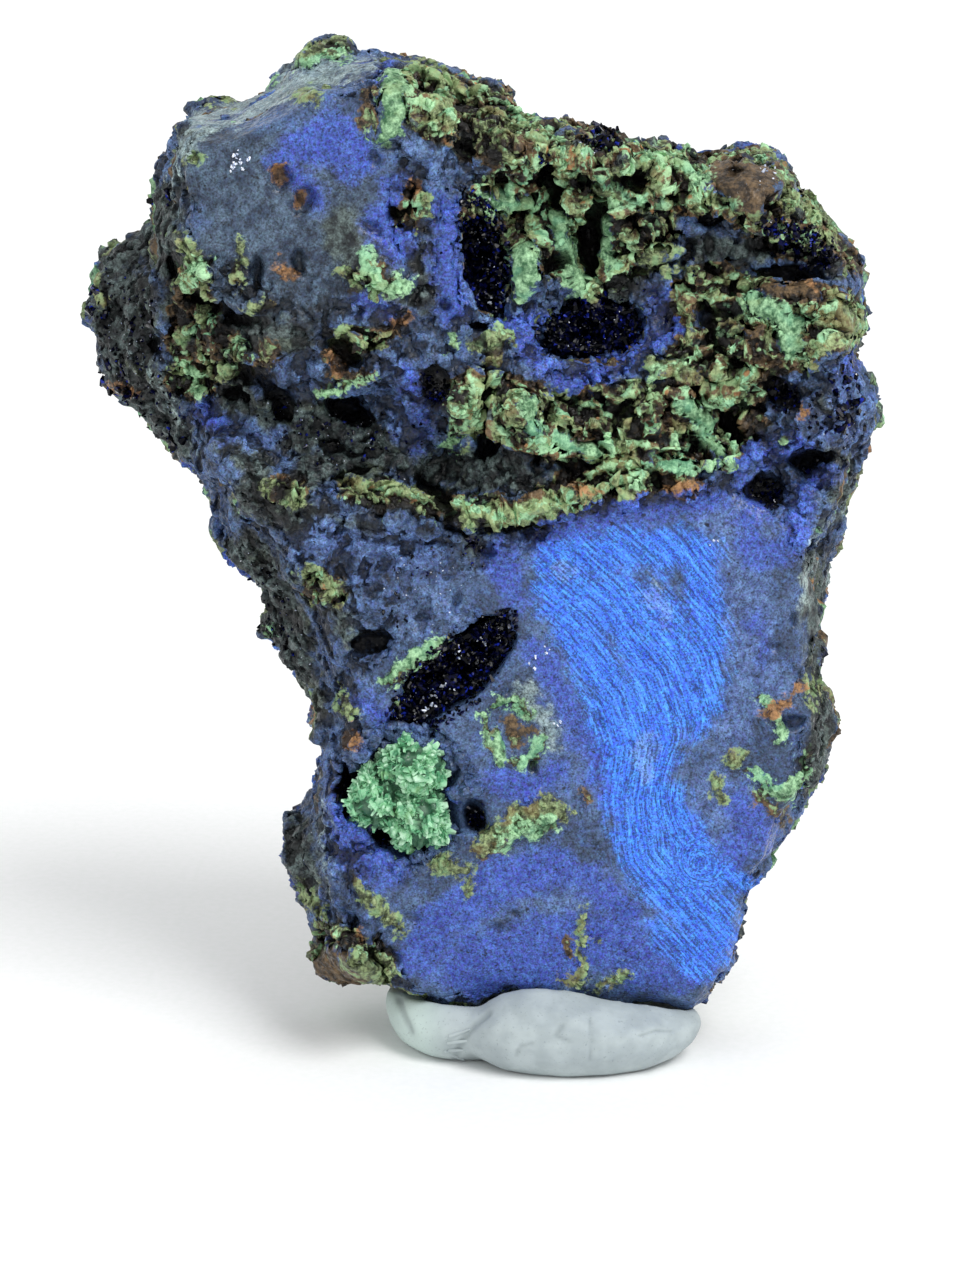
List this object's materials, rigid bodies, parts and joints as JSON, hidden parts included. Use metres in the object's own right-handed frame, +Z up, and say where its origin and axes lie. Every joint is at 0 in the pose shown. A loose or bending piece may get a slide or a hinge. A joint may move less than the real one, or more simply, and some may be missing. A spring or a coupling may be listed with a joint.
{
  "type": "azurite specimen",
  "caption": "Azurite specimen with malachite and limonite: a thick slab with a flat front, rough pitted band and crystal-lined hollows, held upright on a lump of putty.",
  "frame": {"origin": "middle of the putty's flat underside", "axes": "+X to the right as the flat front face is looked at, +Y away from the front face, +Z up"},
  "size_m": [0.0528, 0.0276, 0.0666],
  "materials": {
    "azurite_rock": "matte",
    "azurite_crystal": "satin",
    "malachite": "matte",
    "putty": "matte"
  },
  "bodies": {
    "root": {"stone": "azurite_rock", "slit_druse": "azurite_crystal", "slot_druse": "azurite_crystal", "pocket_druse": "azurite_crystal", "malachite_rosette": "malachite", "putty": "putty"}
  },
  "joints": []
}
